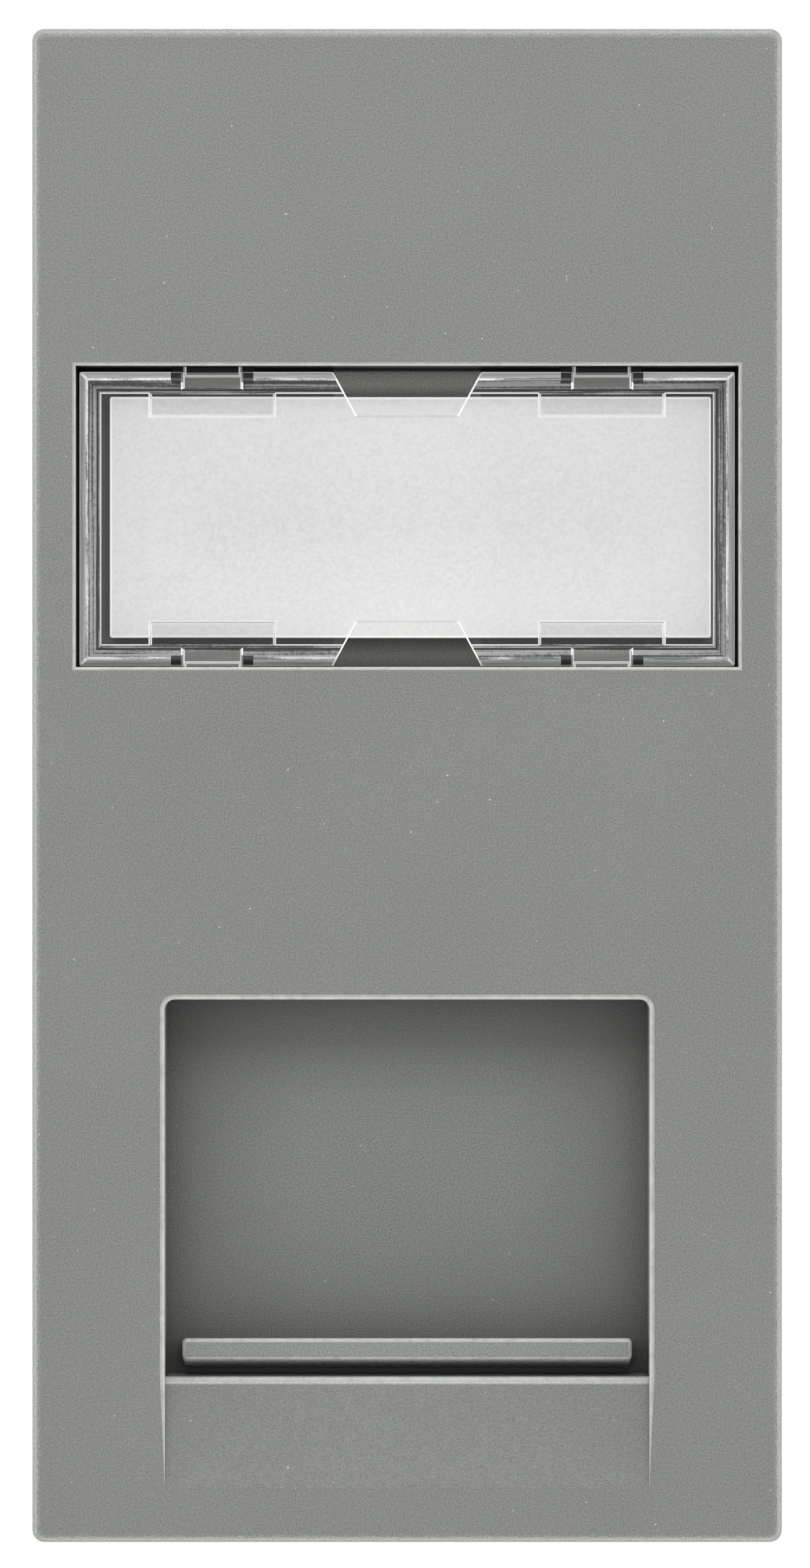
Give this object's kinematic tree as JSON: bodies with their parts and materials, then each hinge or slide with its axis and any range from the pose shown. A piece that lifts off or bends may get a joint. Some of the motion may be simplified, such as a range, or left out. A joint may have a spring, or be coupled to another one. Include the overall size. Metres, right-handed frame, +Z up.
{
  "type": "ethernet socket module",
  "caption": "Snap-in ethernet socket module: tall grey face with a clear label window over a paper label, and a spring-closed sliding shutter in front of the jack.",
  "frame": {"origin": "centre of the seat on the back of the face, where the module rests on its support", "axes": "+Z up the face's long side, +X to the right seen from the front, +Y back from the face to the jack"},
  "size_m": [0.0222, 0.0314, 0.045],
  "materials": {
    "grey_face": "fine grained",
    "grey_shutter": "fine grained",
    "grey_carrier": "satin",
    "clear_window": "clear, polished",
    "paper_label": "uncoated paper",
    "spring_steel": "bright wire",
    "black_jack": "satin",
    "comb_plastic": "satin",
    "gold_contact": "gold plated",
    "board": "solder mask",
    "black_block": "satin",
    "tinned_terminal": "tin plated",
    "white_cap": "satin"
  },
  "bodies": {
    "module": {"front_frame": "grey_face", "label_window": "clear_window", "label_card": "paper_label", "return_spring": "spring_steel", "rear_carrier": "grey_carrier", "jack_housing": "black_jack", "contact_comb": "comb_plastic", "contact_1": "gold_contact", "contact_2": "gold_contact", "contact_3": "gold_contact", "contact_4": "gold_contact", "contact_5": "gold_contact", "contact_6": "gold_contact", "contact_7": "gold_contact", "contact_8": "gold_contact", "circuit_board": "board", "idc_block": "black_block", "idc_terminal_1": "tinned_terminal", "idc_terminal_2": "tinned_terminal", "idc_terminal_3": "tinned_terminal", "idc_terminal_4": "tinned_terminal", "idc_terminal_5": "tinned_terminal", "idc_terminal_6": "tinned_terminal", "idc_terminal_7": "tinned_terminal", "idc_terminal_8": "tinned_terminal", "wire_cap": "white_cap"},
    "shutter": {"shutter": "grey_shutter"}
  },
  "joints": [
    {"name": "shutter_slide", "type": "slide", "parent": "module", "child": "shutter", "axis": [0, 0, 1], "range_m": [0, 0.0099], "stiffness_N_per_m": 40, "springref_m": -0.006, "deforming": ["return_spring"]}
  ]
}
